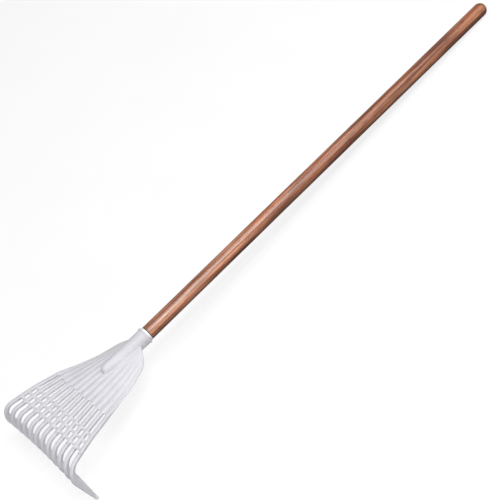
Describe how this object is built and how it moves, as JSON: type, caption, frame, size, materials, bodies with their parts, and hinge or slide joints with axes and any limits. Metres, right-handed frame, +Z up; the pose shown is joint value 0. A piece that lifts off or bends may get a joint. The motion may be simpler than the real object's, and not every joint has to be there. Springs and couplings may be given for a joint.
{
  "type": "hay rake",
  "caption": "Light rake: fan-shaped moulded plastic head with hooked, springy tines joined by cross bars, on a long round wooden handle with a domed butt.",
  "frame": {"origin": "on the floor, under the middle of the part's bounding box", "axes": "+X along the handle towards its butt, +Z up with the rake resting on its tine tips and butt, +Y towards the side of the first tine"},
  "size_m": [1.4052, 0.2994, 0.107],
  "materials": {
    "handle_wood": "reddish-brown hardwood under clear satin lacquer",
    "head_plastic": "pale lavender-grey injection-moulded polypropylene, fine matt texture",
    "collar_plastic": "plain white moulded plastic",
    "screw_steel": "bright zinc-plated steel"
  },
  "bodies": {
    "rake": {"handle": "handle_wood", "collar": "collar_plastic", "retaining_screw": "screw_steel", "socket": "head_plastic", "left_wing": "head_plastic", "right_wing": "head_plastic", "cross_bar_1": "head_plastic", "cross_bar_2": "head_plastic", "cross_bar_3": "head_plastic", "tine_stem_01": "head_plastic", "tine_stem_02": "head_plastic", "tine_stem_03": "head_plastic", "tine_stem_04": "head_plastic", "tine_stem_05": "head_plastic", "tine_stem_06": "head_plastic", "tine_stem_07": "head_plastic", "tine_stem_08": "head_plastic", "tine_stem_09": "head_plastic", "tine_stem_10": "head_plastic", "tine_stem_11": "head_plastic", "tine_stem_12": "head_plastic"},
    "tine_01": {"tine_01": "head_plastic"},
    "tine_02": {"tine_02": "head_plastic"},
    "tine_03": {"tine_03": "head_plastic"},
    "tine_04": {"tine_04": "head_plastic"},
    "tine_05": {"tine_05": "head_plastic"},
    "tine_06": {"tine_06": "head_plastic"},
    "tine_07": {"tine_07": "head_plastic"},
    "tine_08": {"tine_08": "head_plastic"},
    "tine_09": {"tine_09": "head_plastic"},
    "tine_10": {"tine_10": "head_plastic"},
    "tine_11": {"tine_11": "head_plastic"},
    "tine_12": {"tine_12": "head_plastic"}
  },
  "joints": [
    {"name": "tine_01_flex", "type": "hinge", "parent": "rake", "child": "tine_01", "pos_m": [-0.65376, 0.13137, 0.10272], "axis": [0.2934, 0.9558, -0.017], "range_deg": [-6, 10], "stiffness_Nm_per_rad": 3},
    {"name": "tine_02_flex", "type": "hinge", "parent": "rake", "child": "tine_02", "pos_m": [-0.65376, 0.10749, 0.10272], "axis": [0.2435, 0.9698, -0.0141], "range_deg": [-6, 10], "stiffness_Nm_per_rad": 3},
    {"name": "tine_03_flex", "type": "hinge", "parent": "rake", "child": "tine_03", "pos_m": [-0.65376, 0.0836, 0.10272], "axis": [0.1917, 0.9814, -0.0111], "range_deg": [-6, 10], "stiffness_Nm_per_rad": 3},
    {"name": "tine_04_flex", "type": "hinge", "parent": "rake", "child": "tine_04", "pos_m": [-0.65376, 0.05971, 0.10272], "axis": [0.1382, 0.9904, -0.008], "range_deg": [-6, 10], "stiffness_Nm_per_rad": 3},
    {"name": "tine_05_flex", "type": "hinge", "parent": "rake", "child": "tine_05", "pos_m": [-0.65376, 0.03583, 0.10272], "axis": [0.0834, 0.9965, -0.0048], "range_deg": [-6, 10], "stiffness_Nm_per_rad": 3},
    {"name": "tine_06_flex", "type": "hinge", "parent": "rake", "child": "tine_06", "pos_m": [-0.65376, 0.01194, 0.10272], "axis": [0.0279, 0.9996, -0.0016], "range_deg": [-6, 10], "stiffness_Nm_per_rad": 3},
    {"name": "tine_07_flex", "type": "hinge", "parent": "rake", "child": "tine_07", "pos_m": [-0.65376, -0.01194, 0.10272], "axis": [-0.0279, 0.9996, 0.0016], "range_deg": [-6, 10], "stiffness_Nm_per_rad": 3},
    {"name": "tine_08_flex", "type": "hinge", "parent": "rake", "child": "tine_08", "pos_m": [-0.65376, -0.03583, 0.10272], "axis": [-0.0834, 0.9965, 0.0048], "range_deg": [-6, 10], "stiffness_Nm_per_rad": 3},
    {"name": "tine_09_flex", "type": "hinge", "parent": "rake", "child": "tine_09", "pos_m": [-0.65376, -0.05971, 0.10272], "axis": [-0.1382, 0.9904, 0.008], "range_deg": [-6, 10], "stiffness_Nm_per_rad": 3},
    {"name": "tine_10_flex", "type": "hinge", "parent": "rake", "child": "tine_10", "pos_m": [-0.65376, -0.0836, 0.10272], "axis": [-0.1917, 0.9814, 0.0111], "range_deg": [-6, 10], "stiffness_Nm_per_rad": 3},
    {"name": "tine_11_flex", "type": "hinge", "parent": "rake", "child": "tine_11", "pos_m": [-0.65376, -0.10749, 0.10272], "axis": [-0.2435, 0.9698, 0.0141], "range_deg": [-6, 10], "stiffness_Nm_per_rad": 3},
    {"name": "tine_12_flex", "type": "hinge", "parent": "rake", "child": "tine_12", "pos_m": [-0.65376, -0.13137, 0.10272], "axis": [-0.2934, 0.9558, 0.017], "range_deg": [-6, 10], "stiffness_Nm_per_rad": 3}
  ]
}
